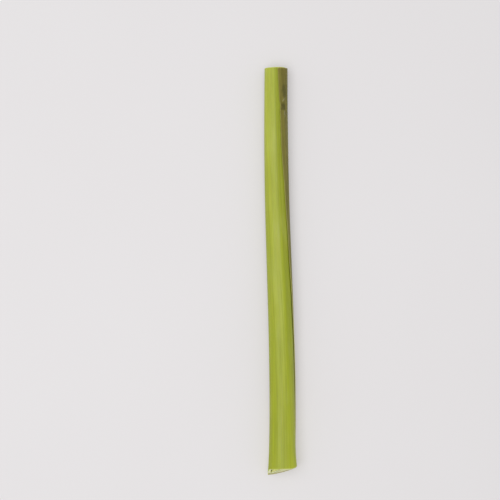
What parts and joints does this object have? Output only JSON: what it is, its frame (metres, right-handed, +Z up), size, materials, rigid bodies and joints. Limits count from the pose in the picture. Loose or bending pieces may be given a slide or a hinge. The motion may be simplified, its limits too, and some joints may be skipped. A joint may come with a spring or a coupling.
{
  "type": "lemongrass stalk",
  "caption": "Trimmed length of lemongrass stalk, a tight roll of ribbed leaf sheaths cut at both ends, lying on its side.",
  "frame": {"origin": "middle of the stalk's underside, where it rests", "axes": "+Y along the stalk from its thicker cut base to its top, +Z up, +X towards the side with the old outer leaf"},
  "size_m": [0.0098, 0.135, 0.0093],
  "materials": {
    "old_leaf": "satin",
    "green_leaf": "satin",
    "pale_leaf": "satin",
    "heart_leaf": "satin"
  },
  "bodies": {
    "root": {"outer_sheath": "old_leaf", "second_sheath": "green_leaf", "third_sheath": "pale_leaf", "fourth_sheath": "pale_leaf", "heart_leaf": "heart_leaf"}
  },
  "joints": []
}
